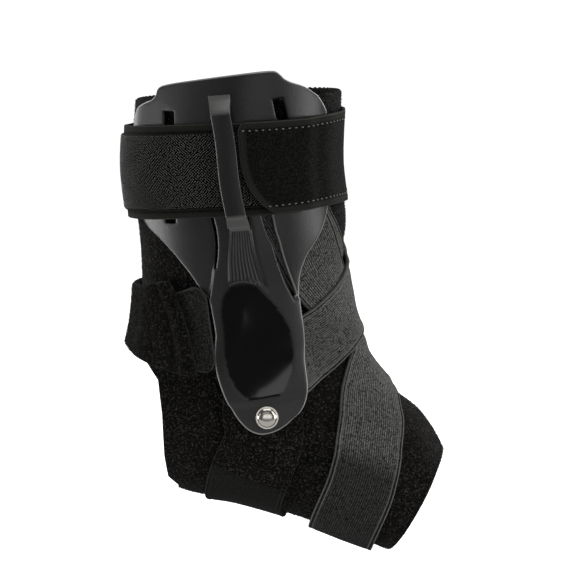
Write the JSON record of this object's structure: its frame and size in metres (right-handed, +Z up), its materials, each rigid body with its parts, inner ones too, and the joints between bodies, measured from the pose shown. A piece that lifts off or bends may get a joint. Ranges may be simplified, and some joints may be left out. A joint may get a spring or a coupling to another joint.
{
  "type": "ankle sleeve",
  "caption": "Plush ankle sleeve, open at heel and toes, with crossed elastic straps, a band under the sole, a hook-and-loop calf strap and a moulded stay on one side.",
  "frame": {"origin": "centre of the ankle inside the sleeve, where the calf part meets the foot part and the wearer's ankle sits", "axes": "+X towards the toes, +Z up the calf, -Y is the side with the moulded stay"},
  "size_m": [0.1673, 0.1057, 0.2534],
  "materials": {
    "plush": "black brushed plush over a thin foam, 3 mm, slightly speckled",
    "loop_cloth": "black brushed loop cloth, stitched along its edges",
    "elastic": "black woven elastic webbing with fine cross ribs and a stitched border",
    "hook_tape": "black woven nylon hook tape, coarse rows of small hooks",
    "moulded_plastic": "injection moulded charcoal plastic, satin, with a glossy dished panel",
    "nickel": "bright nickel plated domed rivet head"
  },
  "bodies": {
    "root": {"sleeve": "plush", "stirrup_band": "loop_cloth", "ankle_strap_medial": "elastic", "instep_strap_medial": "elastic", "instep_strap_lateral": "elastic", "ankle_strap_lateral": "elastic", "stay_shell": "moulded_plastic", "rivet": "nickel", "calf_strap": "loop_cloth", "hook_tape": "hook_tape", "flap_tab": "loop_cloth", "heel_flap": "plush"}
  },
  "joints": []
}
